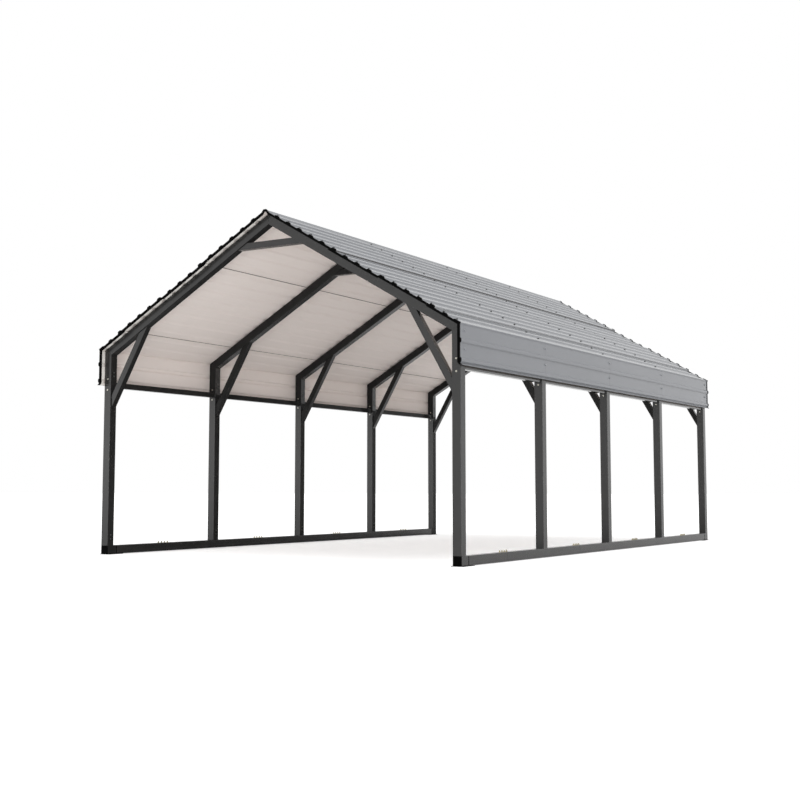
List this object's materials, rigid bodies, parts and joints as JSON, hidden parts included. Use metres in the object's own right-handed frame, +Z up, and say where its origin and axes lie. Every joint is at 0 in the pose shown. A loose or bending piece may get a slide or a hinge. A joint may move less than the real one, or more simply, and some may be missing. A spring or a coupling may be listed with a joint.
{
  "type": "carport",
  "caption": "Open gabled steel carport: square-tube portal frames with knee braces and collar ties on base rails, under ribbed sheets that turn down as a fascia.",
  "frame": {"origin": "on the floor under the middle of the roof", "axes": "+Z up, +Y along the ridge towards the rear gable, +X to the right of someone facing the front gable"},
  "size_m": [3.749, 6.139, 2.9361],
  "materials": {
    "frame_paint": "satin",
    "black_plastic": "matte",
    "roof_paint": "satin",
    "black_paint": "satin"
  },
  "bodies": {
    "root": {"left_base_rail": "frame_paint", "right_base_rail": "frame_paint", "corner_shoes": "frame_paint", "end_caps": "black_plastic", "foot_plates": "black_paint", "left_post_1": "frame_paint", "left_post_2": "frame_paint", "left_post_3": "frame_paint", "left_post_4": "frame_paint", "left_post_5": "frame_paint", "right_post_1": "frame_paint", "right_post_2": "frame_paint", "right_post_3": "frame_paint", "right_post_4": "frame_paint", "right_post_5": "frame_paint", "left_eave_legs": "frame_paint", "right_eave_legs": "frame_paint", "left_rafter_1": "frame_paint", "left_rafter_2": "frame_paint", "left_rafter_3": "frame_paint", "left_rafter_4": "frame_paint", "left_rafter_5": "frame_paint", "right_rafter_1": "frame_paint", "right_rafter_2": "frame_paint", "right_rafter_3": "frame_paint", "right_rafter_4": "frame_paint", "right_rafter_5": "frame_paint", "knee_braces_1": "frame_paint", "knee_braces_2": "frame_paint", "knee_braces_3": "frame_paint", "knee_braces_4": "frame_paint", "knee_braces_5": "frame_paint", "collar_tie_1": "frame_paint", "collar_tie_2": "frame_paint", "collar_tie_3": "frame_paint", "collar_tie_4": "frame_paint", "collar_tie_5": "frame_paint", "left_eave_girts": "frame_paint", "right_eave_girts": "frame_paint", "ridge_sheet": "roof_paint", "left_roof_sheet": "roof_paint", "right_roof_sheet": "roof_paint", "left_eave_sheet": "roof_paint", "right_eave_sheet": "roof_paint", "edge_trims": "black_plastic"}
  },
  "joints": []
}
